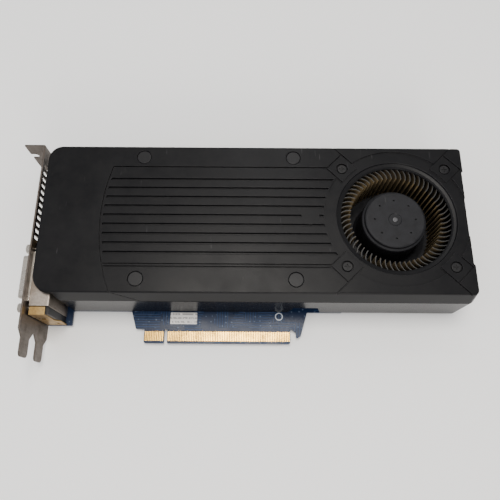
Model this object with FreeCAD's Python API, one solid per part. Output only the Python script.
import FreeCAD, Part
import math
import os

# Two-slot graphics card with a blower fan, lying on its back with the moulded shroud facing up.
# Millimetres. X runs from the mounting bracket's outer face to the fan end, Y = 0 is the plane that the
# bracket's tab seats on with the edge connector towards -Y, and Z = 0 is the bracket's lower edge.

V = FreeCAD.Vector

# Shroud
CARD_LENGTH = 241.3            # bracket outer face to the end of the shroud
BODY_HEIGHT = 90.17            # shroud across Y, from its upper wall to its lower wall
FACE_Z = 38.2                  # shroud face above the bracket's lower edge
SHROUD_TOP_Y = 0.67            # outside of the upper wall
SHROUD_X0 = 3.1                # edge of the face beside the bracket
PLATE_T = 2.0                  # thickness of the face
WALL_T = 1.8
BEVEL_RUN = 2.8                # the lower wall leans in by this much above BEVEL_Z
BEVEL_Z = 29.5
FACE_ROUND = 1.1               # round on the face's outer edge
CORNER_TOP_R = 8.0             # plan corners of the face
CORNER_LOW_R = 10.0
WALL_START_X = 14.5            # lower wall starts clear of the stacked sockets
STACK_GAP = 1.2                # from the stacked sockets to the wall beside them
BOSS = (3.2, 1.3)              # screw bosses under the plugs: radius and bore
END_RECESS = 1.2               # middle of the end wall steps in
END_RECESS_MARGIN = (15.5, 17.0)   # from the upper and the lower side of the face
SEAT_GAP = 0.2                 # shroud foot above the circuit board

# Panel on the face
PANEL_TOP_LINE = 13.2          # first groove below the face's upper edge
RIB_FIRST = 7.9                # from that groove to the first rib groove
RIB_PITCH = 5.5
RIB_COUNT = 9
RIB_LAST_GAP = 6.4             # from the last rib groove to the double groove
RIB_GROOVE = (1.7, 0.9, 1.2)   # width at the face, width at the bottom, depth
FINE_GROOVE = (0.8, 1.0)       # width and depth of the panel lines
ARC_TOP_X = 41.4               # the panel's left edge is an arc through three points
ARC_MID_X = 36.7
ARC_FOOT_X = 44.9
PLUG_X = (58.4, 144.3)         # round plugs in both bands
PLUG_R = 4.0
PLUG_GAP = 0.3
PLUG_DEPTH = 1.2
PLUG_BAND_LOW = 7.5            # plug centres from the face's lower edge
PLUG_BAND_TOP = 7.0            # and from its upper edge
BADGE_R = 5.0                  # plain round blank among the ribs
BADGE_FROM_FAN = 48.3
NOTCH_X = (142.0, 161.0)       # cut-out in the lower wall's foot, wider at the bottom
NOTCH_SLOPE = 2.6
NOTCH_HEIGHT = 11.5

# Blower
FAN_FROM_TOP = 42.97           # below the shroud's upper wall
OPENING_R = 30.9
LIP_RUN = 2.8                  # width of the inlet's rounded mouth
RING_R = 40.4                  # sunk ring round the inlet
RING_DEPTH = 0.8
SKIRT_DROP = 1.0               # inlet skirt below the face plate
SCREW_SQUARE = 58.5            # fan screws on a square centred on the fan
PAD_HALF = 9.5                 # half diagonal of the corner pads
PAD_INNER_R = 36.0             # the pads run in over the sunk ring to here
SCREW_SEAT = (3.3, 1.4)        # radius and depth of the pocket round a fan screw's head
FAN_SCREW = (2.7, 1.3)         # head and shank radius
SCROLL_ROOM = 2.9              # from the impeller to the scroll
SCROLL_T = 1.6
SCROLL_END_GAP = 0.5           # from the scroll to the shroud's end wall
SCROLL_OUTLET = 58.0
TRAY_T = 1.4
TRAY_SCREW_INSET = 3.5         # tray screws inside the scroll's outer radius
POST_R = 3.6
POST_LENGTH = 20.0
POST_WEB = 3.0
IMPELLER_COVER = 1.1           # the shroud covers this much of the blade tips
BLADE_CHORD = 6.8              # radial length of a blade
BLADE_T = 0.6
RING_T = 0.8                   # ring round the blade tips
RING_H = 1.0
BLADE_COUNT = 60
BLADE_SWEEP = (0.0, 2.0, 8.0)  # degrees at the root, middle and tip
IMPELLER_GAP = 0.8             # below the skirt and above the tray
HUB_R = 17.0
HUB_FLARE = 1.3                # the hub is this much larger below its step
HUB_T = 1.4
HUB_SINK = 4.4                 # hub top below the face
HUB_STEP = 2.2
SHAFT_R = 1.5
BEARING_CLEARANCE = 0.03
BEARING_R = 3.2
MAGNET_T = 1.8
YOKE_T = 0.8
MOTOR_GAP = 0.5
MOTOR_BOARD_INSET = 2.5        # motor board's edge inside the hub
STATOR_ARMS = 6
BALANCE_HOLES = 8
BALANCE_PCD = 23.0
BALANCE_R = 0.6

# Circuit board
PCB_T = 1.57
PCB_Z0 = 2.14
PCB_X0 = 1.6
PCB_TOP_GAP = 2.32             # board edge below the shroud's upper wall
PCB_UNDER_FAN = 26.55          # the board ends this far short of the fan's axis
TAIL_DROP = 8.7                # board beside the bracket reaches below the lower wall
TAIL_X = 16.0
TONGUE_DROP = 18.6             # tongue's edge below the lower wall
KEY_X = 71.05                  # centre of the key notch
KEY_W = 1.9
TONGUE_SHORT = 11.65
TONGUE_LONG = 71.35
NOTCH_DEPTH = 8.25
FINGER = (0.7, 5.6, 0.05)
FINGER_PITCH = 1.0
HOOK_GAP = 1.2
BRIDGE_X = (30.0, 64.0)
BRIDGE_W = 26.0
BRIDGE_RISE = 4.5

# Bracket
BRACKET_T = 0.86
BRACKET_WIDTH = 38.74
SLOT_PITCH = 20.32
SLOT_Z = 9.21                  # centre of the lower slot
TAB_LENGTH = 11.43
TAB_NOTCH = (4.42, 4.2, 2.3)   # width, depth and centre below the slot's centre
PLATE_BELOW_TAIL = 7.8         # bracket plate below the board's tail
TAIL_WIDTH = 10.19
TAIL_LENGTH = 14.0
VENT = (2.3, 13.5)
VENT_PITCH = 3.95
VENT_FIRST = 11.5
VENT_TOP_MARGIN = 2.2
BEND_R = 1.2

# Sockets
DVI_FROM_TAIL = 21.2           # centre of the stack above the board's tail
DVI_HALF = 21.0                # half the stack's width
DVI_CORE_HALF = 16.3
DVI_DEPTH = 13.0
DVI_TOP_Z = 33.6
D_SHELL = (24.6, 22.4, 9.1)    # long side, short side and height of the shell
D_OUT = 4.6                    # the shell stands out of the bracket
SHELL_T = 0.5
JACK_HALF = 16.8
JACK_FLAT_R = 2.75
JACK_HOLE_R = 1.3
JACK_LENGTH = 5.0
HDMI = (15.0, 5.8, 11.5)
HDMI_FROM_STACK = 16.5
DP = (16.9, 5.6, 11.5)
DP_FROM_HDMI = 18.5
LUG = (2.4, 3.0, 5.6)          # bracket lugs: half width, reach past the screw, screw from the bracket
LUG_FROM_DP = 14.8
PORT_OUT = 1.0
WINDOW_GAP = 0.25
POWER_W = 14.0
POWER_H = 9.8
POWER_DEPTH = 13.2
POWER_PITCH = 14.8
POWER_FROM_END = 14.4          # first socket from the board's end
CELL = 3.6
CELL_PITCH = 4.2
PIN = 1.2

# Cooling
GPU = (97.0, 45.5)             # X, and distance below the shroud's upper wall
SUBSTRATE = (40.0, 1.2)
DIE = (17.0, 0.8)
BASE = (68.0, 70.0, 3.6)
FIN_T = 0.4
FIN_PITCH = 2.0
SINK_GAP = 0.5                 # fins below the face plate
SPRING_PITCH = 53.0
BOARD_SCREW = (2.4, 1.2, 0.9)  # head radius, shank radius and underside of the screws behind the board
SPRING_SCREW = (2.9, 1.2)

# Parts on the board
VRM_FROM_END = 26.0            # supply stage from the board's end
CHOKE = (9.0, 7.0)             # side and height
CHOKE_COUNT = 4
CHOKE_PITCH = 11.0
MOSFET = (5.0, 4.6, 1.0)
MOSFET_COUNT = 8
MOSFET_PITCH = 5.6
PAD_T = 1.0
CAN = (3.0, 8.0)               # radius and height of the capacitors
HEADER_FROM_VRM = 14.0
HEADER_BELOW_FAN = 30.0
HEADER_SIZE = (5.2, 10.4, 3.2)
HEADER_WALL = 0.6
PLUG_GAP_IN_HEADER = 0.1
LEAD_R = 0.8

# Values that follow
IMPELLER_R = OPENING_R + IMPELLER_COVER
BLADE_ROOT_R = IMPELLER_R - BLADE_CHORD
LIP_R = OPENING_R + LIP_RUN
SCROLL_R = IMPELLER_R + SCROLL_ROOM + SCROLL_T
FAN_REACH = max(SCROLL_R, SCREW_SQUARE / 2 + POST_R)      # the scroll's wall or its screw posts
FAN_X = CARD_LENGTH - END_RECESS - WALL_T - SCROLL_END_GAP - FAN_REACH
FAN_Y = SHROUD_TOP_Y - FAN_FROM_TOP
FAN = (FAN_X, FAN_Y)
WALL_LOW_Y = SHROUD_TOP_Y - BODY_HEIGHT
FACE_LOW_Y = WALL_LOW_Y + BEVEL_RUN
UNDER_FACE = FACE_Z - PLATE_T
PCB_TOP = PCB_Z0 + PCB_T
PCB_X1 = FAN_X - PCB_UNDER_FAN
PCB_Y1 = SHROUD_TOP_Y - PCB_TOP_GAP
PCB_TAIL_Y = WALL_LOW_Y - TAIL_DROP
TONGUE_Y = WALL_LOW_Y - TONGUE_DROP
FOOT_Z = PCB_TOP + SEAT_GAP
BRACKET_LOW_Y = PCB_TAIL_Y - PLATE_BELOW_TAIL
DVI_Y = PCB_TAIL_Y + DVI_FROM_TAIL
DVI_Z = (SLOT_Z, SLOT_Z + SLOT_PITCH)
HDMI_Y = DVI_Y + DVI_HALF + HDMI_FROM_STACK
DP_Y = HDMI_Y + DP_FROM_HDMI
STACK_WALL_Y = DVI_Y + DVI_HALF + STACK_GAP + WALL_T   # inner side of the wall beside the stack
TRAY_TOP = PCB_TOP + TRAY_T
IMPELLER_Z = (TRAY_TOP + IMPELLER_GAP + 2.2, UNDER_FACE - SKIRT_DROP - IMPELLER_GAP)
HUB_TOP = FACE_Z - HUB_SINK
HUB_LOW_R = HUB_R + HUB_FLARE
HUB_INNER = HUB_LOW_R - HUB_T
FAN_CORNERS = [(sx, sy) for sx in (-1, 1) for sy in (-1, 1)]
PANEL_TOP_Y = SHROUD_TOP_Y - PANEL_TOP_LINE
RIB_LINES = [PANEL_TOP_Y - RIB_FIRST - RIB_PITCH * i for i in range(RIB_COUNT)]
DOUBLE_LINE_Y = RIB_LINES[-1] - RIB_LAST_GAP
PLUGS = [(x, y) for x in PLUG_X for y in (FACE_LOW_Y + PLUG_BAND_LOW, SHROUD_TOP_Y - PLUG_BAND_TOP)]
GPU_Y = SHROUD_TOP_Y - GPU[1]
DIE_TOP = PCB_TOP + SUBSTRATE[1] + DIE[1]
BASE_TOP = DIE_TOP + BASE[2]
BRIDGE_Y1 = PCB_Y1 + BRIDGE_RISE
POWER_X0 = [PCB_X1 - POWER_FROM_END - POWER_PITCH * i for i in range(2)]
POWER_Y1 = SHROUD_TOP_Y - 0.4
VRM_X = PCB_X1 - VRM_FROM_END
HEADER = (VRM_X + HEADER_FROM_VRM, FAN_Y - HEADER_BELOW_FAN)


def block(x, y, z):
    return Part.makeBox(x[1] - x[0], y[1] - y[0], z[1] - z[0], V(x[0], y[0], z[0]))


def block_on(centre, size, z):
    """A block centred on a point in plan; size is its X and Y lengths."""
    x = (centre[0] - size[0] / 2, centre[0] + size[0] / 2)
    y = (centre[1] - size[1] / 2, centre[1] + size[1] / 2)
    return block(x, y, z)


def rod(centre, radius, z):
    return Part.makeCylinder(radius, z[1] - z[0], V(centre[0], centre[1], z[0]))


def tube(centre, outer, inner, z):
    return rod(centre, outer, z).cut(rod(centre, inner, (z[0] - 1, z[1] + 1)))


def rod_x(y, z, radius, x):
    return Part.makeCylinder(radius, x[1] - x[0], V(x[0], y, z), V(1, 0, 0))


def outline(corners, place):
    """A closed wire through corners (a, b, radius), rounded where the radius isn't 0."""
    spots = []
    for i, (a, b, radius) in enumerate(corners):
        here = V(a, b, 0)
        before = V(corners[i - 1][0], corners[i - 1][1], 0) - here
        after = V(corners[(i + 1) % len(corners)][0], corners[(i + 1) % len(corners)][1], 0) - here
        if radius == 0:
            spots.append((here, None, here))
            continue
        before.normalize()
        after.normalize()
        half = before.getAngle(after) / 2
        run = radius / math.tan(half)
        inward = before + after
        inward.normalize()
        middle = here + inward * (radius / math.sin(half) - radius)
        spots.append((here + before * run, middle, here + after * run))
    edges = []
    for i, (start, middle, end) in enumerate(spots):
        following = spots[(i + 1) % len(spots)][0]
        if middle is not None:
            edges.append(Part.Arc(place(start), place(middle), place(end)).toShape())
        if end.distanceToPoint(following) > 1e-6:
            edges.append(Part.LineSegment(place(end), place(following)).toShape())
    return Part.Wire(edges)


def slab(corners, z):
    """A plate with an outline in XY."""
    wire = outline(corners, lambda p: V(p.x, p.y, z[0]))
    return Part.Face(wire).extrude(V(0, 0, z[1] - z[0]))


def rail(corners, x):
    """A bar along X with a section in YZ."""
    wire = outline(corners, lambda p: V(x[0], p.x, p.y))
    return Part.Face(wire).extrude(V(x[1] - x[0], 0, 0))


def cross_bar(corners, y):
    """A bar along Y with a section in XZ."""
    wire = outline(corners, lambda p: V(p.x, y[0], p.y))
    return Part.Face(wire).extrude(V(0, y[1] - y[0], 0))


def turned(profile, centre):
    """A solid turned about an upright axis from (radius, z) points."""
    points = [V(centre[0] + r, centre[1], z) for r, z in profile]
    wire = Part.makePolygon(points + [points[0]])
    return Part.Face(wire).revolve(V(centre[0], centre[1], 0), V(0, 0, 1), 360)


def strip(start, end, width, z):
    """A straight groove tool between two points in plan."""
    length = math.hypot(end[0] - start[0], end[1] - start[1])
    tool = Part.makeBox(length, width, z[1] - z[0], V(0, -width / 2, z[0]))
    tool.rotate(V(0, 0, 0), V(0, 0, 1), math.degrees(math.atan2(end[1] - start[1], end[0] - start[0])))
    tool.translate(V(start[0], start[1], 0))
    return tool


def join(shapes):
    return shapes[0].multiFuse(shapes[1:]).removeSplitter()


def carve(shape, tools):
    return shape.cut(list(tools))


def around(shape, centre, count):
    """Copies of a shape turned evenly about an upright axis."""
    copies = []
    for i in range(count):
        copy = shape.copy()
        copy.rotate(V(centre[0], centre[1], 0), V(0, 0, 1), 360.0 * i / count)
        copies.append(copy)
    return copies


def save(name, shapes):
    """Write one node, as one solid or as a group of separate solids."""
    solids = []
    for shape in shapes if isinstance(shapes, list) else [shapes]:
        solids.extend(shape.Solids)
    out = solids[0] if len(solids) == 1 else Part.makeCompound(solids)
    out.exportStep("parts/%s.step" % name)


def fan_corner(sx, sy):
    return (FAN_X + sx * SCREW_SQUARE / 2, FAN_Y + sy * SCREW_SQUARE / 2)


# ---- shroud ------------------------------------------------------------------------------------------

def shroud_skin():
    """The outer form: an extruded section with its corners rounded, then its face's rim."""
    form = rail([
        (SHROUD_TOP_Y, FOOT_Z, 0),
        (SHROUD_TOP_Y, FACE_Z, 0),
        (FACE_LOW_Y, FACE_Z, 0),
        (WALL_LOW_Y, BEVEL_Z, 0),
        (WALL_LOW_Y, FOOT_Z, 0),
    ], (SHROUD_X0, CARD_LENGTH))
    corners = [
        (SHROUD_X0, SHROUD_TOP_Y, CORNER_TOP_R),
        (SHROUD_X0, FACE_LOW_Y, CORNER_LOW_R),
        (CARD_LENGTH, SHROUD_TOP_Y, 2.0),
        (CARD_LENGTH, FACE_LOW_Y, 3.0),
    ]
    for x, y, radius in corners:
        upright = [
            e for e in form.Edges
            if e.BoundBox.ZLength > 1 and abs(e.BoundBox.XMin - x) < 0.01
            and e.BoundBox.XLength < 0.01 and abs(e.BoundBox.YMin - y) < BEVEL_RUN + 0.01
        ]
        form = form.makeFillet(radius, upright)
    rim = [e for e in form.Edges if e.BoundBox.ZMin > FACE_Z - 0.01]
    return form.makeFillet(FACE_ROUND, rim)


def shroud_hollow():
    """Tools that leave the face, the walls and the wall round the stacked sockets."""
    inner_end = CARD_LENGTH - END_RECESS - WALL_T
    corner_x = WALL_START_X + WALL_T
    main = rail([
        (SHROUD_TOP_Y - WALL_T, FOOT_Z - 1, 0),
        (SHROUD_TOP_Y - WALL_T, UNDER_FACE, 0),
        (FACE_LOW_Y + WALL_T, UNDER_FACE, 0),
        (WALL_LOW_Y + WALL_T, BEVEL_Z - 1, 0),
        (WALL_LOW_Y + WALL_T, FOOT_Z - 1, 0),
    ], (corner_x, inner_end))
    exit_duct = block((0, corner_x + 1), (STACK_WALL_Y, SHROUD_TOP_Y - WALL_T), (FOOT_Z - 1, UNDER_FACE))
    z = (FOOT_Z - 1, UNDER_FACE)
    kept = slab([
        (WALL_START_X, STACK_WALL_Y, 0),
        (FAN_X, STACK_WALL_Y, 0),
        (FAN_X, WALL_LOW_Y, 0),
        (WALL_START_X, WALL_LOW_Y, 3.0),
    ], (0, FACE_Z))
    over_stack = block((0, WALL_START_X + 6), (WALL_LOW_Y - 5, STACK_WALL_Y - WALL_T), z).cut(kept)
    beside_bracket = block((0, SHROUD_X0 + 6), (SHROUD_TOP_Y - WALL_T - 0.1, SHROUD_TOP_Y + 5),
                           (FOOT_Z - 1, UNDER_FACE - 14))
    return [main, exit_duct, over_stack, beside_bracket]


def pad_square(sx, sy, half, z):
    x, y = fan_corner(sx, sy)
    return slab([(x - half, y, 0), (x, y - half, 0), (x + half, y, 0), (x, y + half, 0)], z)


def panel_arc():
    """Centre and radius of the arc that bounds the ribbed panel on the left."""
    top = V(ARC_TOP_X, PANEL_TOP_Y, 0)
    foot = V(ARC_FOOT_X, FACE_LOW_Y, 0)
    middle = V(ARC_MID_X, (PANEL_TOP_Y + FACE_LOW_Y) / 2, 0)
    circle = Part.Arc(top, middle, foot).toShape().Curve
    return circle.Center, circle.Radius


def face_grooves():
    """Every line cut in the face."""
    top = FACE_Z + 1
    wide, narrow, deep = RIB_GROOVE
    line, line_depth = FINE_GROOVE
    centre, radius = panel_arc()
    hub = (centre.x, centre.y)
    pads = [pad_square(sx, sy, PAD_HALF, (0, top + 5)) for sx, sy in FAN_CORNERS]
    keep_clear = pads + [rod(FAN, RING_R + 0.6, (0, top + 5))]
    ribs = []
    for y in RIB_LINES:
        flare = (wide - narrow) / 2 / deep
        ribs.append(rail([
            (y - narrow / 2, FACE_Z - deep, 0),
            (y + narrow / 2, FACE_Z - deep, 0),
            (y + wide / 2 + flare, top, 0),
            (y - wide / 2 - flare, top, 0),
        ], (ARC_MID_X - 5, FAN_X)))
    badge = rod((FAN_X - BADGE_FROM_FAN, RIB_LINES[4]), BADGE_R, (0, top + 5))
    inside_arc = rod(hub, radius - line - 0.4, (0, top + 5))
    ribs = Part.makeCompound(ribs).common(inside_arc).cut(keep_clear + [badge])
    lines = [
        block((ARC_MID_X, FAN_X), (y - line / 2, y + line / 2), (FACE_Z - line_depth, top))
        for y in (PANEL_TOP_Y, DOUBLE_LINE_Y, DOUBLE_LINE_Y - 1.5)
    ]
    lines = Part.makeCompound(lines).common(rod(hub, radius, (0, top + 5))).cut(keep_clear)
    band = block((0, FAN_X), (WALL_LOW_Y - 5, PANEL_TOP_Y + line / 2), (0, top + 5))
    arc = tube(hub, radius + line / 2, radius - line / 2, (FACE_Z - line_depth, top)).common(band)
    pad_lines = []
    for sx, sy in FAN_CORNERS:
        z = (FACE_Z - line_depth, top)
        frame = pad_square(sx, sy, PAD_HALF, z).cut(pad_square(sx, sy, PAD_HALF - line * 1.4, (0, top + 5)))
        pad_lines.append(frame.cut(rod(FAN, PAD_INNER_R, (0, top + 5))))
        x, y = fan_corner(sx, sy)
        edge_y = SHROUD_TOP_Y + 2 if sy > 0 else FACE_LOW_Y - 2
        reach = abs(edge_y - (y + sy * PAD_HALF))
        start = (x, y + sy * (PAD_HALF - line * 0.7))
        pad_lines.append(strip(start, (x + sx * reach, start[1] + sy * reach), line, z))
    return ribs.Solids + lines.Solids + arc.Solids + pad_lines


def fan_inlet():
    """The sunk ring, its rounded mouth and the round opening."""
    pads = [pad_square(sx, sy, PAD_HALF, (0, FACE_Z + 5)) for sx, sy in FAN_CORNERS]
    floor = FACE_Z - RING_DEPTH
    ring = rod(FAN, RING_R, (floor, FACE_Z + 1))
    inner = rod(FAN, PAD_INNER_R, (floor, FACE_Z + 1))
    sunk = ring.cut(pads).fuse(inner)
    mouth = turned([
        (0, floor + 0.01),
        (LIP_R, floor + 0.01),
        (LIP_R - 0.5, floor - 0.9),
        (OPENING_R + 0.8, UNDER_FACE - 0.1),
        (OPENING_R, UNDER_FACE - SKIRT_DROP * 0.6),
        (OPENING_R, UNDER_FACE - SKIRT_DROP - 1),
        (0, UNDER_FACE - SKIRT_DROP - 1),
    ], FAN)
    return sunk.Solids + [mouth]


def wall_cuts():
    """Cut-outs and lines in the walls, and the recess in the end wall."""
    recess_y = (FACE_LOW_Y + END_RECESS_MARGIN[1], SHROUD_TOP_Y - END_RECESS_MARGIN[0])
    recess = slab([
        (CARD_LENGTH + 3, recess_y[0] - 3, 0),
        (CARD_LENGTH + 3, recess_y[1] + 3, 0),
        (CARD_LENGTH - END_RECESS, recess_y[1], 0),
        (CARD_LENGTH - END_RECESS, recess_y[0], 0),
    ], (FOOT_Z - 1, FACE_Z + 2))
    notch = cross_bar([
        (NOTCH_X[0], FOOT_Z - 0.01, 0),
        (NOTCH_X[1], FOOT_Z - 0.01, 0),
        (NOTCH_X[1] - NOTCH_SLOPE, FOOT_Z + NOTCH_HEIGHT, 0.8),
        (NOTCH_X[0] + NOTCH_SLOPE, FOOT_Z + NOTCH_HEIGHT, 0.8),
    ], (WALL_LOW_Y - 1, WALL_LOW_Y + WALL_T + 1))
    line = FINE_GROOVE[0] / 2
    step_x = ARC_FOOT_X + 16.0
    level = Part.makeCylinder(line, CARD_LENGTH - step_x + 2, V(step_x, WALL_LOW_Y, BEVEL_Z), V(1, 0, 0))
    start = V(ARC_FOOT_X, FACE_LOW_Y, FACE_Z)
    run = V(step_x, WALL_LOW_Y, BEVEL_Z) - start
    slant = Part.makeCylinder(line, run.Length, start, run)
    power_z = (FOOT_Z - 1, PCB_TOP + POWER_H + 0.5)
    power = [block((x - 0.4, x + POWER_W + 0.4), (POWER_Y1 - 3, SHROUD_TOP_Y + 1), power_z) for x in POWER_X0]
    return [recess, notch, level.fuse(slant)] + power


def screw_seats():
    tools = []
    for x, y in PLUGS:
        tools.append(rod((x, y), PLUG_R + PLUG_GAP, (FACE_Z - PLUG_DEPTH - 0.1, FACE_Z + 1)))
    for sx, sy in FAN_CORNERS:
        tools.append(rod(fan_corner(sx, sy), SCREW_SEAT[0], (FACE_Z - SCREW_SEAT[1], FACE_Z + 1)))
        tools.append(rod(fan_corner(sx, sy), FAN_SCREW[1] + 0.4, (UNDER_FACE - 1, FACE_Z)))
    return tools


def make_shroud():
    body = carve(shroud_skin(), shroud_hollow())
    skirt = tube(FAN, LIP_R + 0.4, OPENING_R - 1, (UNDER_FACE - SKIRT_DROP, UNDER_FACE + 0.5))
    posts = []
    for spot in PLUGS[:3]:
        posts.append(tube(spot, BOSS[0], BOSS[1], (FOOT_Z, UNDER_FACE + 0.2)))
    body = join([body, skirt] + posts)
    body = carve(body, fan_inlet() + wall_cuts())
    return carve(body, face_grooves() + screw_seats())


def make_plugs():
    plugs = []
    for x, y in PLUGS:
        plug = rod((x, y), PLUG_R, (FACE_Z - PLUG_DEPTH, FACE_Z - 0.1))
        rim = [e for e in plug.Edges if e.BoundBox.ZMin > FACE_Z - 0.11]
        plugs.append(plug.makeFillet(0.35, rim))
    return plugs


def pan_screw(centre, head_r, head_z, shank_r, shank_z):
    """A round-headed screw with a cross recess; head_z runs from the seat to the top of the head."""
    up = 1 if head_z[1] > head_z[0] else -1
    low, high = sorted(head_z)
    head = rod(centre, head_r, (low, high))
    crown = [e for e in head.Edges
             if abs(e.BoundBox.ZMin - head_z[1]) < 0.01 and abs(e.BoundBox.ZMax - head_z[1]) < 0.01]
    head = head.makeFillet(min(0.4, (high - low) / 2.5), crown)
    slot_z = sorted((head_z[1] + up, head_z[1] - up * 0.5))
    arm = head_r * 1.1
    cross = [block_on(centre, (arm, 0.6), slot_z), block_on(centre, (0.6, arm), slot_z)]
    return join([carve(head, cross), rod(centre, shank_r, shank_z)])


def make_fan_screws():
    seat = FACE_Z - SCREW_SEAT[1]
    head, shank = FAN_SCREW
    return [
        pan_screw(fan_corner(sx, sy), head, (seat, seat + 1.1), shank, (UNDER_FACE - 9, seat + 0.1))
        for sx, sy in FAN_CORNERS
    ]


# ---- blower ------------------------------------------------------------------------------------------

def tray_screws():
    """Centres of the screws under the scroll: three in the base plate, one in the board."""
    reach = SCROLL_R - TRAY_SCREW_INSET
    spots = []
    for degrees in (-60, 0, 60, 180):
        angle = math.radians(degrees)
        spots.append((FAN_X + reach * math.cos(angle), FAN_Y + reach * math.sin(angle)))
    return spots


def make_scroll():
    wall_top = UNDER_FACE - 0.3
    floor = rod(FAN, SCROLL_R, (PCB_TOP, TRAY_TOP))
    wall = tube(FAN, SCROLL_R, SCROLL_R - SCROLL_T, (PCB_TOP, wall_top))
    outlet_y = (FAN_Y - SCROLL_OUTLET / 2, FAN_Y + SCROLL_OUTLET / 2)
    outlet = block((FAN_X - SCROLL_R - 1, FAN_X - 20), outlet_y, (TRAY_TOP, wall_top + 1))
    inside = rod(FAN, SCROLL_R - SCROLL_T / 2, (0, wall_top + 1))
    posts = []
    for sx, sy in FAN_CORNERS:
        z = (wall_top - POST_LENGTH, wall_top)
        posts.append(rod(fan_corner(sx, sy), POST_R, z))
        posts.append(strip(FAN, fan_corner(sx, sy), POST_WEB, z).cut(inside))
    bore = FAN_SCREW[1] + 0.05
    post_holes = [rod(fan_corner(sx, sy), bore, (wall_top - 11, wall_top + 1)) for sx, sy in FAN_CORNERS]
    screw_holes = [rod(spot, BOARD_SCREW[1] + 0.05, (PCB_TOP - 1, TRAY_TOP + 1)) for spot in tray_screws()]
    body = join([carve(floor.fuse(wall), [outlet])] + posts)
    skirt_room = [rod(FAN, LIP_R + 0.8, (UNDER_FACE - SKIRT_DROP - 0.5, wall_top + 1))]
    return carve(body, post_holes + screw_holes + skirt_room)


def make_base_plate():
    x = (PCB_X1 + 0.6, CARD_LENGTH - 1.2)
    y = (WALL_LOW_Y + 0.6, PCB_Y1)
    plate = slab([(x[0], y[0], 0), (x[1], y[0], 3), (x[1], y[1], 3), (x[0], y[1], 0)], (PCB_Z0, PCB_TOP))
    return carve(plate, [rod(spot, 1.3, (0, 10)) for spot in tray_screws()[:3]])


def blade():
    """One curved blade, its section bounded by two equal arcs."""
    lead = []
    trail = []
    turn = math.degrees(BLADE_T / ((BLADE_ROOT_R + IMPELLER_R) / 2))
    radii = (BLADE_ROOT_R, (BLADE_ROOT_R + IMPELLER_R) / 2, IMPELLER_R - 0.05)
    z = IMPELLER_Z[0] + 0.6
    for radius, sweep in zip(radii, BLADE_SWEEP):
        for side, shift in ((lead, 0), (trail, turn)):
            angle = math.radians(sweep + shift)
            side.append(V(FAN_X + radius * math.cos(angle), FAN_Y + radius * math.sin(angle), z))
    edges = [
        Part.Arc(*lead).toShape(),
        Part.LineSegment(lead[2], trail[2]).toShape(),
        Part.Arc(*trail).toShape(),
        Part.LineSegment(trail[0], lead[0]).toShape(),
    ]
    face = Part.Face(Part.Wire(Part.__sortEdges__(edges)))
    return face.extrude(V(0, 0, IMPELLER_Z[1] - z))


def make_impeller():
    """Hub cup with its dished back disc."""
    z0 = IMPELLER_Z[0]
    step_z = HUB_TOP - HUB_STEP
    cup = turned([
        (SHAFT_R, HUB_TOP - HUB_T),
        (SHAFT_R, HUB_TOP - 0.5),
        (3.4, HUB_TOP - 0.5),
        (3.9, HUB_TOP),
        (HUB_R - 1.0, HUB_TOP),
        (HUB_R - 0.3, HUB_TOP - 0.3),
        (HUB_R, HUB_TOP - 1.0),
        (HUB_R, step_z),
        (HUB_LOW_R - 0.3, step_z - 0.5),
        (HUB_LOW_R, step_z - 1.3),
        (HUB_LOW_R, z0 + 5.0),
        (HUB_LOW_R + 1.4, z0 + 3.0),
        (BLADE_ROOT_R - 1.5, z0 + 1.8),
        (IMPELLER_R, z0 + 1.2),
        (IMPELLER_R, z0),
        (HUB_INNER, z0),
        (HUB_INNER, HUB_TOP - HUB_STEP - 1.5),
        (HUB_INNER - 1.5, HUB_TOP - HUB_T),
    ], FAN)
    spot = rod((FAN_X + BALANCE_PCD / 2, FAN_Y), BALANCE_R, (HUB_TOP - 0.9, HUB_TOP + 1))
    spots = around(spot, FAN, BALANCE_HOLES)
    return carve(cup, spots)


def make_impeller_ring():
    """Thin ring that ties the blade tips together at the inlet."""
    return tube(FAN, IMPELLER_R, IMPELLER_R - RING_T, (IMPELLER_Z[1] - RING_H, IMPELLER_Z[1]))


def make_blades():
    """Blades that stand on the disc and end against the ring."""
    return around(carve(blade(), [make_impeller(), make_impeller_ring()]), FAN, BLADE_COUNT)


def make_rotor_yoke():
    top = HUB_TOP - HUB_STEP - 1.5
    return tube(FAN, HUB_INNER, HUB_INNER - YOKE_T, (IMPELLER_Z[0] + 2, top))


def make_magnet():
    outer = HUB_INNER - YOKE_T
    return tube(FAN, outer, outer - MAGNET_T, (IMPELLER_Z[0] + 3, IMPELLER_Z[0] + 17))


def make_shaft():
    shaft = rod(FAN, SHAFT_R, (TRAY_TOP + 1.6, HUB_TOP - 0.15))
    tip = [e for e in shaft.Edges if e.BoundBox.ZMin > HUB_TOP - 0.16]
    return shaft.makeFillet(0.35, tip)


def make_bearing_tube():
    top = IMPELLER_Z[0] + 16
    flange = rod(FAN, 9.0, (TRAY_TOP, TRAY_TOP + 0.9))
    body = rod(FAN, BEARING_R, (TRAY_TOP, top))
    bore = rod(FAN, SHAFT_R + BEARING_CLEARANCE, (TRAY_TOP + 1.5, top + 1))
    return carve(join([flange, body]), [bore])


def make_motor_board():
    return tube(FAN, HUB_INNER - MOTOR_BOARD_INSET, BEARING_R, (TRAY_TOP + 0.9, TRAY_TOP + 2.1))


def stator_limits():
    outer = HUB_INNER - YOKE_T - MAGNET_T - MOTOR_GAP
    return outer, (IMPELLER_Z[0] + 5, IMPELLER_Z[0] + 14)


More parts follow.
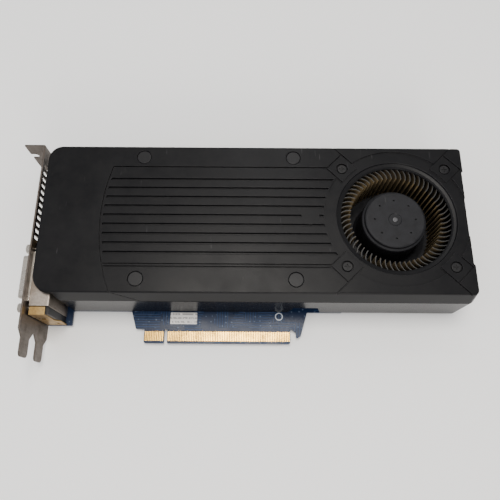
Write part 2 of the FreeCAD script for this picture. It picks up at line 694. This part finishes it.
def make_stator_core():
    outer, z = stator_limits()
    arms = around(block((FAN_X, FAN_X + outer - 0.8), (FAN_Y - 1.0, FAN_Y + 1.0), z), FAN, STATOR_ARMS)
    heads = tube(FAN, outer, outer - 1.4, z)
    gaps = around(block((FAN_X + 4, FAN_X + outer + 2), (FAN_Y - 0.9, FAN_Y + 0.9), (z[0] - 1, z[1] + 1)),
                  FAN, STATOR_ARMS)
    for gap in gaps:
        gap.rotate(V(FAN_X, FAN_Y, 0), V(0, 0, 1), 180.0 / STATOR_ARMS)
    core = join([rod(FAN, BEARING_R + 2.2, z)] + arms + [carve(heads, gaps)])
    return carve(core, [rod(FAN, BEARING_R, (z[0] - 1, z[1] + 1))])


def make_windings():
    outer, z = stator_limits()
    x = (FAN_X + BEARING_R + 2.6, FAN_X + outer - 1.6)
    coil = block(x, (FAN_Y - 2.2, FAN_Y + 2.2), (z[0] - 1.0, z[1] + 1.0))
    arm = block((x[0] - 1, x[1] + 1), (FAN_Y - 1.0, FAN_Y + 1.0), z)
    return around(coil.cut(arm), FAN, STATOR_ARMS)


# ---- circuit board -----------------------------------------------------------------------------------

def spring_spots():
    half = SPRING_PITCH / 2
    return [(GPU[0] + sx * half, GPU_Y + sy * half) for sx in (-1, 1) for sy in (-1, 1)]


def lug_spots():
    half_width, _, x = LUG
    return [(x, DP_Y + LUG_FROM_DP), (x, STACK_WALL_Y + half_width + 0.5)]


def make_pcb():
    long_x = KEY_X + KEY_W / 2 + TONGUE_LONG
    short_x = KEY_X - KEY_W / 2 - TONGUE_SHORT
    neck_y = TONGUE_Y + NOTCH_DEPTH
    hook_x = long_x + HOOK_GAP
    corners = [
        (PCB_X0, PCB_Y1, 0.5),
        (PCB_X1, PCB_Y1, 1.5),
        (PCB_X1, WALL_LOW_Y, 1.5),
        (hook_x + 9.0, WALL_LOW_Y, 0),
        (hook_x + 5.0, neck_y - 3.5, 1.0),
        (hook_x + 2.2, neck_y - 5.5, 0.8),
        (hook_x + 2.2, neck_y - 1.6, 0.4),
        (hook_x, neck_y, 0.4),
        (long_x, neck_y, 0.4),
        (long_x, TONGUE_Y, 1.0),
        (KEY_X + KEY_W / 2, TONGUE_Y, 0.4),
        (KEY_X + KEY_W / 2, neck_y, 0.5),
        (KEY_X - KEY_W / 2, neck_y, 0.5),
        (KEY_X - KEY_W / 2, TONGUE_Y, 0.4),
        (short_x, TONGUE_Y, 1.0),
        (short_x, neck_y, 0.4),
        (short_x - 5.0, neck_y, 0.5),
        (short_x - 8.0, WALL_LOW_Y, 0),
        (TAIL_X, WALL_LOW_Y, 0.8),
        (TAIL_X, PCB_TAIL_Y, 0.8),
        (PCB_X0, PCB_TAIL_Y, 0.5),
    ]
    z = (PCB_Z0, PCB_TOP)
    bridges = []
    for x in BRIDGE_X:
        end = x + BRIDGE_W
        foot = PCB_Y1 - 1
        bridges.append(slab([(x, foot, 0), (x, BRIDGE_Y1, 0.8), (end, BRIDGE_Y1, 0.8), (end, foot, 0)], z))
    holes = [rod(spot, 1.6, (0, 10)) for spot in spring_spots()]
    holes += [rod(spot, 1.4, (0, 10)) for spot in lug_spots() + PLUGS[:3] + tray_screws()[3:]]
    return carve(join([slab(corners, z)] + bridges), holes)


def finger_row(x0, x1, y, depth, pitch):
    """Contacts on both faces of the board's edge."""
    width, _, thick = FINGER
    fingers = []
    count = int((x1 - x0) / pitch)
    margin = (x1 - x0 - (count - 1) * pitch) / 2
    for i in range(count):
        x = x0 + margin + i * pitch
        for z in ((PCB_TOP, PCB_TOP + thick), (PCB_Z0 - thick, PCB_Z0)):
            fingers.append(block((x - width / 2, x + width / 2), (y, y + depth), z))
    return fingers


def make_edge_contacts():
    y = TONGUE_Y + 1.3
    short = (KEY_X - KEY_W / 2 - TONGUE_SHORT, KEY_X - KEY_W / 2)
    long = (KEY_X + KEY_W / 2, KEY_X + KEY_W / 2 + TONGUE_LONG)
    return finger_row(short[0], short[1], y, FINGER[1], FINGER_PITCH) + \
        finger_row(long[0], long[1], y, FINGER[1], FINGER_PITCH)


def make_bridge_contacts():
    fingers = []
    for x in BRIDGE_X:
        fingers += finger_row(x + 1, x + BRIDGE_W - 1, BRIDGE_Y1 - 4.0, 3.2, 1.9)
    return fingers


def make_label():
    return slab([
        (KEY_X + 0.4 + KEY_W, WALL_LOW_Y - 0.6, 0.4),
        (KEY_X + 16.0 + KEY_W, WALL_LOW_Y - 0.6, 0.4),
        (KEY_X + 16.0 + KEY_W, WALL_LOW_Y - 7.4, 0.4),
        (KEY_X + 0.4 + KEY_W, WALL_LOW_Y - 7.4, 0.4),
    ], (PCB_TOP, PCB_TOP + 0.15))


# ---- bracket and sockets -----------------------------------------------------------------------------

def d_outline(grow, z):
    """The D form of a shell, grown all round; the long side faces up."""
    long_half = D_SHELL[0] / 2 + grow
    short_half = D_SHELL[1] / 2 + grow
    half = D_SHELL[2] / 2 + grow
    corner = max(0.4, 1.8 + grow)
    return [
        (DVI_Y - short_half, z - half, corner),
        (DVI_Y + short_half, z - half, corner),
        (DVI_Y + long_half, z + half, corner),
        (DVI_Y - long_half, z + half, corner),
    ]


def port_outline(y, width, height, grow, chamfer):
    """A port's mouth standing on the board, with its lower corners cut."""
    z0 = PCB_TOP + 0.5 - grow
    z1 = PCB_TOP + 0.5 + height + grow
    half = width / 2 + grow
    return [
        (y - half, z1, 0.4),
        (y - half, z0 + chamfer, 0.3),
        (y - half + chamfer, z0, 0.3),
        (y + half - chamfer, z0, 0.3),
        (y + half, z0 + chamfer, 0.3),
        (y + half, z1, 0.4),
    ]


def tab_notch_z():
    return [z - TAB_NOTCH[2] for z in DVI_Z]


def make_bracket():
    t = BRACKET_T
    plate = block((0, t), (BRACKET_LOW_Y, t), (0, BRACKET_WIDTH))
    tab = block((-TAB_LENGTH, t), (0, t), (0, BRACKET_WIDTH))
    tails = []
    for z in DVI_Z:
        half = TAIL_WIDTH / 2
        shoulder = BRACKET_LOW_Y - 4.0
        tip = BRACKET_LOW_Y - TAIL_LENGTH
        edge = min(z, BRACKET_WIDTH - z)
        tails.append(rail([
            (BRACKET_LOW_Y + 1, z - edge, 0),
            (BRACKET_LOW_Y + 1, z + edge, 0),
            (BRACKET_LOW_Y, z + edge, 0),
            (shoulder, z + half, 1.0),
            (tip, z + half, 2.4),
            (tip, z - half, 2.4),
            (shoulder, z - half, 1.0),
            (BRACKET_LOW_Y, z - edge, 0),
        ], (0, t)))
    body = join([plate, tab] + tails)
    bend = [
        e for e in body.Edges
        if abs(e.BoundBox.XMin - t) < 0.01 and abs(e.BoundBox.YMin - t) < 0.01
        and e.Length > BRACKET_WIDTH - 1
    ]
    body = body.makeFillet(BEND_R, bend)
    lugs = []
    for x, y in lug_spots():
        half, reach, _ = LUG
        end = x + reach
        corners = [(t - 0.1, y - half, 0), (end, y - half, 1.2), (end, y + half, 1.2), (t - 0.1, y + half, 0)]
        lugs.append(slab(corners, (PCB_TOP, PCB_TOP + t)))
    body = join([body] + lugs)
    cuts = [rod(spot, 1.25, (0, 10)) for spot in lug_spots()]
    for z in DVI_Z:
        cuts.append(rail(d_outline(WINDOW_GAP, z), (-1, t + 0.5)))
        for side in (-1, 1):
            cuts.append(rod_x(DVI_Y + side * JACK_HALF, z, 1.7, (-1, t + 0.5)))
    cuts.append(rail(port_outline(HDMI_Y, HDMI[0], HDMI[1], WINDOW_GAP, 1.6), (-1, t + 0.5)))
    cuts.append(rail(port_outline(DP_Y, DP[0], DP[1], WINDOW_GAP, 0.8), (-1, t + 0.5)))
    vent_top = BRACKET_WIDTH - VENT_TOP_MARGIN
    vent_count = int((abs(DVI_Y + DVI_HALF) - VENT_FIRST) / VENT_PITCH) + 1
    for i in range(vent_count):
        y = -VENT_FIRST - VENT_PITCH * i
        cuts.append(rail([
            (y - VENT[0] / 2, vent_top - VENT[1], VENT[0] / 2 - 0.01),
            (y + VENT[0] / 2, vent_top - VENT[1], VENT[0] / 2 - 0.01),
            (y + VENT[0] / 2, vent_top, VENT[0] / 2 - 0.01),
            (y - VENT[0] / 2, vent_top, VENT[0] / 2 - 0.01),
        ], (-1, t + 0.5)))
    for z in tab_notch_z():
        half = TAB_NOTCH[0] / 2
        end = -TAB_LENGTH + TAB_NOTCH[1]
        cuts.append(cross_bar([
            (-TAB_LENGTH - 1, z - half, 0),
            (end, z - half, half - 0.01),
            (end, z + half, half - 0.01),
            (-TAB_LENGTH - 1, z + half, 0),
        ], (-1, t + 1)))
    return carve(body, cuts)


def make_bracket_screws():
    head, shank, under = BOARD_SCREW
    shank_z = (PCB_Z0 - 0.1, PCB_TOP + 1.4)
    return [pan_screw(spot, head, (PCB_Z0, under), shank, shank_z) for spot in lug_spots()]


def make_dvi_housing():
    """Black moulded core of the stacked sockets."""
    y = (DVI_Y - DVI_HALF + 0.6, DVI_Y + DVI_HALF - 0.6)
    core_y = (DVI_Y - DVI_CORE_HALF + 0.5, DVI_Y + DVI_CORE_HALF - 0.5)
    x = (BRACKET_T + 1.0, DVI_DEPTH - 1.0)
    low = block(x, y, (PCB_TOP, DVI_TOP_Z - 2.0))
    high = block(x, core_y, (PCB_TOP, DVI_TOP_Z - 0.4))
    pockets = []
    for z in DVI_Z:
        pockets.append(rail(d_outline(0, z), (0, 3.5)))
        for side in (-1, 1):
            pockets.append(rod_x(DVI_Y + side * JACK_HALF, z, 1.9, (0, 9)))
    return carve(join([low, high]), pockets)


def make_dvi_shield():
    """Folded sheet over the top and the back of the core."""
    y = (DVI_Y - DVI_CORE_HALF, DVI_Y + DVI_CORE_HALF)
    x = (BRACKET_T + 1.0, DVI_DEPTH - 0.5)
    outer = block(x, y, (PCB_TOP + 0.3, DVI_TOP_Z))
    rim = [
        e for e in outer.Edges
        if abs(e.BoundBox.XMin - x[1]) < 0.01 and e.BoundBox.ZMin > DVI_TOP_Z - 0.01
    ]
    outer = outer.makeFillet(0.8, rim)
    inner = block((x[0] - 1, DVI_DEPTH - 1.0), (y[0] - 1, y[1] + 1), (0, DVI_TOP_Z - 0.4))
    return outer.cut(inner)


def make_dvi_side_plates():
    """Plated angle on each side: an upright cheek and a flange over the jack screws."""
    plates = []
    for side in (-1, 1):
        outer = DVI_Y + side * DVI_HALF
        inner = DVI_Y + side * (DVI_CORE_HALF + 0.3)
        face = outer - side * 0.6
        cheek = cross_bar([
            (BRACKET_T + 1.0, PCB_TOP, 0),
            (DVI_DEPTH, PCB_TOP, 0),
            (DVI_DEPTH, PCB_TOP + 11.0, 0.8),
            (DVI_DEPTH - 2.6, PCB_TOP + 14.0, 0.8),
            (DVI_DEPTH - 2.6, DVI_TOP_Z - 0.8, 0),
            (BRACKET_T + 1.0, DVI_TOP_Z - 0.8, 0),
        ], tuple(sorted((outer, face))))
        flange = block((BRACKET_T + 1.0, DVI_DEPTH - 2.6), tuple(sorted((outer, inner))),
                       (DVI_TOP_Z - 1.4, DVI_TOP_Z - 0.8))
        plate = join([cheek, flange])
        span = tuple(sorted((outer + side, face - side * 0.01)))
        foot = V(DVI_DEPTH - 3.2, span[0], PCB_TOP + 5.0)
        rivet = Part.makeCylinder(1.0, span[1] - span[0], foot, V(0, 1, 0))
        window = block((4.6, 7.0), span, (PCB_TOP + 15.5, PCB_TOP + 18.5))
        plates.append(carve(plate, [rivet, window]))
    return plates


def make_dvi_shell(z):
    flange_y = (DVI_Y - D_SHELL[0] / 2 - 1.6, DVI_Y + D_SHELL[0] / 2 + 1.6)
    flange_z = (z - D_SHELL[2] / 2 - 0.4, z + D_SHELL[2] / 2 + 0.4)
    flange = block((BRACKET_T, BRACKET_T + 1.0), flange_y, flange_z)
    skin = rail(d_outline(0, z), (-D_OUT, BRACKET_T + 0.5))
    rim = [e for e in skin.Edges if e.BoundBox.XMax < -D_OUT + 0.01]
    skin = skin.makeFillet(0.25, rim)
    bore = rail(d_outline(-SHELL_T, z), (-D_OUT - 1, 3))
    return carve(join([skin, flange]), [bore])


def make_dvi_insert(z):
    """Moulded contact block with three rows of sockets and the cross of the analogue contacts."""
    body = rail(d_outline(-SHELL_T - 0.9, z), (-D_OUT + 0.7, 3.4))
    pitch = 1.905
    x = (-D_OUT - 1, -D_OUT + 2.5)
    holes = []
    for column in range(8):
        y = DVI_Y - 9.6 + pitch * column
        for row in (-1, 0, 1):
            dz = z + row * pitch
            holes.append(block(x, (y - 0.42, y + 0.42), (dz - 0.42, dz + 0.42)))
    y = DVI_Y + 7.4
    holes.append(block(x, (y - 2.2, y + 2.2), (z - 0.3, z + 0.3)))
    holes.append(block(x, (y - 0.3, y + 0.3), (z - 2.0, z + 2.0)))
    return carve(body, holes)


def make_jack_screws():
    """Hexagonal standoffs that hold the sockets to the bracket and take the cable's screws."""
    screws = []
    for z in DVI_Z:
        for side in (-1, 1):
            y = DVI_Y + side * JACK_HALF
            points = []
            for i in range(6):
                angle = math.radians(60 * i + 30)
                points.append((y + JACK_FLAT_R * math.cos(angle), z + JACK_FLAT_R * math.sin(angle), 0))
            head = rail(points, (-JACK_LENGTH, 0))
            start = V(-JACK_LENGTH, y, z)
            cone = Part.makeCone(JACK_FLAT_R - 0.35, JACK_FLAT_R + 1.6, 2.0, start, V(1, 0, 0))
            body = rod_x(y, z, JACK_FLAT_R + 1, (-JACK_LENGTH + 2.0, 0))
            head = head.common(join([cone, body]))
            stem = rod_x(y, z, 1.5, (-0.5, 8.0))
            bore = rod_x(y, z, JACK_HOLE_R, (-JACK_LENGTH - 1, -0.8))
            screws.append(carve(join([head, stem]), [bore]))
    return screws


def make_port_shell(y, size, chamfer):
    width, height, depth = size
    skin = rail(port_outline(y, width, height, 0, chamfer), (-PORT_OUT, depth))
    bore = rail(port_outline(y, width, height, -0.4, chamfer), (-PORT_OUT - 1, depth - 0.6))
    feet = [
        block((BRACKET_T + 2.0, BRACKET_T + 4.0), (y + side * width / 2 - 0.3, y + side * width / 2 + 0.3),
              (PCB_TOP, PCB_TOP + 2.5))
        for side in (-1, 1)
    ]
    return carve(join([skin] + feet), [bore])


def make_port_insert(y, size):
    """Back block and thin contact tongue inside a port."""
    width, height, depth = size
    middle = PCB_TOP + 0.5 + height / 2
    back_y = (y - width / 2 + 0.5, y + width / 2 - 0.5)
    back = block((depth - 4.0, depth - 0.6), back_y, (PCB_TOP + 2.6, PCB_TOP + height))
    tongue_y = (y - width / 2 + 2.2, y + width / 2 - 2.2)
    tongue = block((0.6, depth - 3.5), tongue_y, (middle - 0.55, middle + 0.55))
    return join([back, tongue])


# ---- power, chips and cooling ------------------------------------------------------------------------

def power_cells(x0):
    """Centres (x, z) of the six cells in a power socket."""
    middle = x0 + POWER_W / 2
    z = PCB_TOP + POWER_H / 2
    return [(middle + CELL_PITCH * i, z + CELL_PITCH * (j - 0.5)) for i in (-1, 0, 1) for j in (0, 1)]


def make_power_sockets():
    sockets = []
    for x0 in POWER_X0:
        y = (POWER_Y1 - POWER_DEPTH, POWER_Y1)
        body = block((x0, x0 + POWER_W), y, (PCB_TOP, PCB_TOP + POWER_H))
        cuts = []
        for x, z in power_cells(x0):
            half = CELL / 2
            cuts.append(block((x - half, x + half), (y[0] + 2.5, y[1] + 1), (z - half, z + half)))
        latch = block((x0 + POWER_W / 2 - 2, x0 + POWER_W / 2 + 2), (y[1] - 6, y[1] - 3.5),
                      (PCB_TOP + POWER_H - 0.2, PCB_TOP + POWER_H + 0.4))
        sockets.append(join([carve(body, cuts), latch]))
    return sockets


def make_power_pins():
    pins = []
    for x0 in POWER_X0:
        for x, z in power_cells(x0):
            y = (POWER_Y1 - POWER_DEPTH + 2.5, POWER_Y1 - 2.5)
            pins.append(block((x - PIN / 2, x + PIN / 2), y, (z - PIN / 2, z + PIN / 2)))
    return pins


def make_package(size, low):
    """A square layer of the graphics chip; size is its side and thickness."""
    side, thick = size
    return block_on((GPU[0], GPU_Y), (side, side), (low, low + thick))


def make_memory():
    """Chips on three sides of the graphics chip."""
    spots = [(GPU[0] - 30.0, GPU_Y + dy) for dy in (-15.0, 0.0, 15.0)]
    spots += [(GPU[0] + dx, GPU_Y + dy) for dy in (-31.0, 31.0) for dx in (-8.0, 8.0)]
    spots += [(GPU[0] + 30.0, GPU_Y)]
    return [block_on(spot, (12.0, 14.0), (PCB_TOP, PCB_TOP + 1.1)) for spot in spots]


def make_heatsink_base():
    base = block_on((GPU[0], GPU_Y), BASE[:2], (DIE_TOP, BASE_TOP))
    posts = [rod(spot, 3.0, (PCB_TOP, DIE_TOP + 0.5)) for spot in spring_spots()]
    holes = [rod(spot, 1.25, (PCB_TOP - 1, DIE_TOP + 1.5)) for spot in spring_spots()]
    return carve(join([base] + posts), holes)


def make_fins():
    width, depth, _ = BASE
    count = int((depth - FIN_T) / FIN_PITCH) + 1
    first = GPU_Y - (count - 1) * FIN_PITCH / 2
    z = (BASE_TOP, UNDER_FACE - SINK_GAP)
    return [block_on((GPU[0], first + FIN_PITCH * i), (width, FIN_T), z) for i in range(count)]


def make_spring_screws():
    head, shank = SPRING_SCREW
    return [pan_screw(spot, head, (1.0, 0.1), shank, (0.9, DIE_TOP + 1.2)) for spot in spring_spots()]


def make_springs():
    return [tube(spot, 2.3, 1.6, (1.0, PCB_Z0)) for spot in spring_spots()]


def make_back_screws():
    head, shank, under = BOARD_SCREW
    ends = [(spot, PCB_TOP + 7) for spot in PLUGS[:3]] + [(spot, TRAY_TOP - 0.1) for spot in tray_screws()]
    return [pan_screw(spot, head, (PCB_Z0, under), shank, (PCB_Z0 - 0.1, end)) for spot, end in ends]


def make_chokes():
    side, height = CHOKE
    chokes = []
    for i in range(CHOKE_COUNT):
        centre = (VRM_X + 6.0, GPU_Y + 17.0 - CHOKE_PITCH * i)
        body = block_on(centre, (side, side), (PCB_TOP, PCB_TOP + height))
        upright = [e for e in body.Edges if e.BoundBox.ZLength > height - 0.1]
        chokes.append(body.makeFillet(1.2, upright))
    return chokes


def mosfet_spots():
    """Centres of the switching transistors, in one column beside the chokes."""
    return [(VRM_X - 4.5, GPU_Y + 18.0 - MOSFET_PITCH * i) for i in range(MOSFET_COUNT)]


def make_mosfets():
    return [block_on(spot, MOSFET[:2], (PCB_TOP, PCB_TOP + MOSFET[2])) for spot in mosfet_spots()]


def supply_column():
    """Centre of the column of transistors, and its length."""
    spots = mosfet_spots()
    return (spots[0][0], (spots[0][1] + spots[-1][1]) / 2), spots[0][1] - spots[-1][1] + MOSFET[1]


def make_vrm_pad():
    centre, length = supply_column()
    low = PCB_TOP + MOSFET[2]
    return block_on(centre, (MOSFET[0] + 1.0, length + 2.0), (low, low + PAD_T))


def make_vrm_heatsink():
    centre, length = supply_column()
    low = PCB_TOP + MOSFET[2] + PAD_T
    length += 4.0
    fin_z = (low + 1.5, low + 10.0)
    fins = [block_on((centre[0] + dx, centre[1]), (0.9, length), fin_z) for dx in (-2.2, 0, 2.2)]
    return join([block_on(centre, (8.0, length), (low, low + 2.0))] + fins)


def make_capacitors():
    """Round polymer capacitors beside the chokes and near the lower wall."""
    radius, height = CAN
    spots = [(VRM_X + dx, WALL_LOW_Y + dy) for dx, dy in ((2.0, 6.5), (9.0, 6.5), (5.5, 13.5))]
    spots += [(WALL_START_X + dx, WALL_LOW_Y + 8.0) for dx in (8.0, 16.0)]
    cans = []
    for spot in spots:
        can = rod(spot, radius, (PCB_TOP, PCB_TOP + height))
        crown = [e for e in can.Edges if e.BoundBox.ZMin > PCB_TOP + height - 0.1]
        cans.append(can.makeFillet(0.5, crown))
    return cans


def make_small_chips():
    spots = [((32.0, -32.0), (6.0, 5.0)), ((40.0, -52.0), (5.0, 5.0)), ((46.0, -14.0), (7.0, 7.0))]
    return [block_on(spot, size, (PCB_TOP, PCB_TOP + 1.2)) for spot, size in spots]


def make_passives():
    """Rows of ceramic capacitors near the sockets and round the board's lower edge."""
    parts = []
    for i in range(10):
        parts.append(block_on((24.0 + 3.4 * i, WALL_LOW_Y + 3.6), (1.0, 1.8), (PCB_TOP, PCB_TOP + 0.9)))
        parts.append(block_on((22.0 + 2.6 * i, -24.0), (1.0, 1.8), (PCB_TOP, PCB_TOP + 0.9)))
    return parts


# ---- fan lead ----------------------------------------------------------------------------------------

def lead_points():
    """Route of the fan's lead, from the motor board over the tray to the plug on the board."""
    board_edge = FAN_X - (HUB_INNER - MOTOR_BOARD_INSET)
    z = TRAY_TOP + LEAD_R + 0.1
    plug_end = plug_section()[1][1]
    plug_z = PCB_TOP + HEADER_SIZE[2] + LEAD_R + 0.1
    return [
        V(board_edge + 0.3, FAN_Y - 3.0, z),
        V(board_edge - 13.5, FAN_Y - 5.0, z),
        V(board_edge - 21.0, FAN_Y - 16.0, (z + plug_z) / 2),
        V(HEADER[0] + 0.5, plug_end + 0.1, plug_z),
    ]


def make_lead():
    """A round lead along straight runs joined by tangent arcs."""
    points = lead_points()
    edges = []
    start = points[0]
    for before, corner, after in zip(points, points[1:], points[2:]):
        back = before - corner
        on = after - corner
        shorter = min(back.Length, on.Length)
        back.normalize()
        on.normalize()
        half = back.getAngle(on) / 2
        reach = 0.45 * shorter
        radius = reach * math.tan(half)
        inward = back + on
        inward.normalize()
        middle = corner + inward * (radius / math.sin(half) - radius)
        edges.append(Part.LineSegment(start, corner + back * reach).toShape())
        edges.append(Part.Arc(corner + back * reach, middle, corner + on * reach).toShape())
        start = corner + on * reach
        print("lead bend radius %.1f mm" % radius)
    edges.append(Part.LineSegment(start, points[-1]).toShape())
    path = Part.Wire(edges)
    ring = Part.Wire(Part.Circle(points[0], points[1] - points[0], LEAD_R).toShape())
    tube_solid = path.makePipeShell([ring], True, True)
    expected = path.Length * math.pi * LEAD_R ** 2
    error = 100 * (tube_solid.Volume / expected - 1)
    print("lead length %.1f mm, volume off by %.2f%%" % (path.Length, error))
    return tube_solid


def plug_section():
    """X and Y limits of the plug inside the header's walls."""
    width, length, _ = HEADER_SIZE
    inset = PLUG_GAP_IN_HEADER
    x = (HEADER[0] - width / 2 + HEADER_WALL + inset, HEADER[0] + width / 2 - HEADER_WALL - inset)
    y = (HEADER[1] - length / 2 + HEADER_WALL + inset, HEADER[1] + length / 2 - HEADER_WALL - inset)
    return x, y


def make_fan_header():
    """Open tray on the board with a raised latch wall behind the plug."""
    width, length, height = HEADER_SIZE
    body = block_on(HEADER, (width, length), (PCB_TOP, PCB_TOP + height))
    latch_x = (HEADER[0] - width / 2, HEADER[0] - width / 2 + HEADER_WALL)
    latch = block(latch_x, (HEADER[1] - length / 2, HEADER[1] + length / 2), (PCB_TOP, PCB_TOP + 6.0))
    pocket = (width - 2 * HEADER_WALL, length - 2 * HEADER_WALL)
    inside = block_on(HEADER, pocket, (PCB_TOP + 1.0, PCB_TOP + 7.0))
    return carve(join([body, latch]), [inside])


def make_fan_plug():
    x, y = plug_section()
    return block(x, y, (PCB_TOP + 1.0, PCB_TOP + 5.6))


# ---- nodes -------------------------------------------------------------------------------------------

os.makedirs("parts", exist_ok=True)

save("shroud", make_shroud())
save("shroud_plugs", make_plugs())
save("fan_screws", make_fan_screws())
save("fan_scroll", make_scroll())
save("fan_base_plate", make_base_plate())
save("fan_impeller", make_impeller())
save("impeller_blades", make_blades())
save("impeller_ring", make_impeller_ring())
save("rotor_yoke", make_rotor_yoke())
save("rotor_magnet", make_magnet())
save("fan_shaft", make_shaft())
save("bearing_tube", make_bearing_tube())
save("motor_board", make_motor_board())
save("stator_core", make_stator_core())
save("stator_windings", make_windings())
save("circuit_board", make_pcb())
save("edge_contacts", make_edge_contacts())
save("bridge_contacts", make_bridge_contacts())
save("board_label", make_label())
save("mounting_bracket", make_bracket())
save("bracket_screws", make_bracket_screws())
save("dvi_housing", make_dvi_housing())
save("dvi_shield", make_dvi_shield())
save("dvi_side_plates", make_dvi_side_plates())
save("dvi_shell_lower", make_dvi_shell(DVI_Z[0]))
save("dvi_shell_upper", make_dvi_shell(DVI_Z[1]))
save("dvi_insert_lower", make_dvi_insert(DVI_Z[0]))
save("dvi_insert_upper", make_dvi_insert(DVI_Z[1]))
save("jack_screws", make_jack_screws())
save("hdmi_shell", make_port_shell(HDMI_Y, HDMI, 1.6))
save("hdmi_insert", make_port_insert(HDMI_Y, HDMI))
save("displayport_shell", make_port_shell(DP_Y, DP, 0.8))
save("displayport_insert", make_port_insert(DP_Y, DP))
save("power_sockets", make_power_sockets())
save("power_pins", make_power_pins())
save("gpu_substrate", make_package(SUBSTRATE, PCB_TOP))
save("gpu_die", make_package(DIE, PCB_TOP + SUBSTRATE[1]))
save("memory_chips", make_memory())
save("heatsink_base", make_heatsink_base())
save("heatsink_fins", make_fins())
save("spring_screws", make_spring_screws())
save("screw_springs", make_springs())
save("back_screws", make_back_screws())
save("chokes", make_chokes())
save("mosfets", make_mosfets())
save("thermal_pad", make_vrm_pad())
save("regulator_heatsink", make_vrm_heatsink())
save("capacitors", make_capacitors())
save("small_chips", make_small_chips())
save("ceramic_passives", make_passives())
save("fan_lead", make_lead())
save("fan_header", make_fan_header())
save("fan_plug", make_fan_plug())
